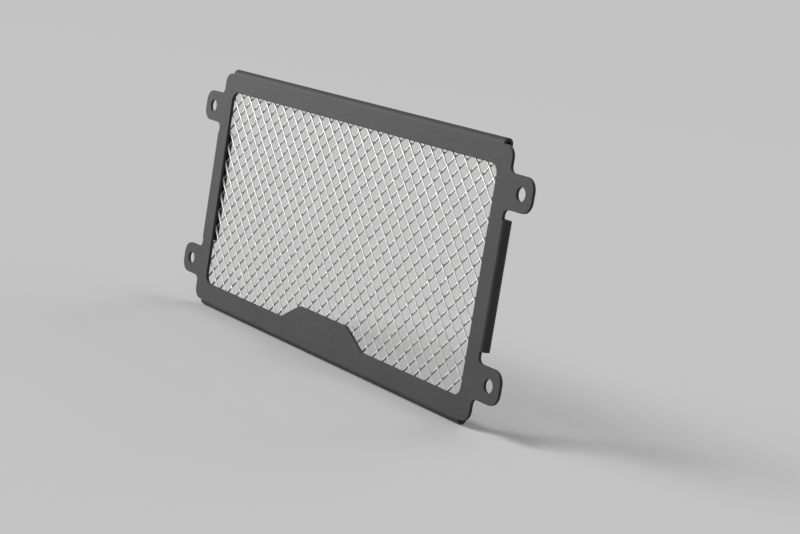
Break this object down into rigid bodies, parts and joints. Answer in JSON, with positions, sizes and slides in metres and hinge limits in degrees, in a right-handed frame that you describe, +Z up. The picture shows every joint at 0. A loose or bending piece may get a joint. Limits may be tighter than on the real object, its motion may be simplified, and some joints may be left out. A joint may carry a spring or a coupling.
{
  "type": "oil cooler guard",
  "caption": "Flat stone guard for a motorbike oil cooler: a black folded sheet frame with a plain tab and screw ears grips a bright welded wire mesh.",
  "frame": {"origin": "middle of the four screw holes, on the rear face of the frame's sheet", "axes": "+X to the right seen from the front, -Y out of the front towards oncoming air, +Z up"},
  "size_m": [0.295, 0.0051, 0.1286],
  "materials": {
    "black_coat": "fine-grained semi-matt powder coat",
    "bright_wire": "bare drawn stainless wire, satin"
  },
  "bodies": {
    "root": {"frame": "black_coat", "mesh": "bright_wire"}
  },
  "joints": []
}
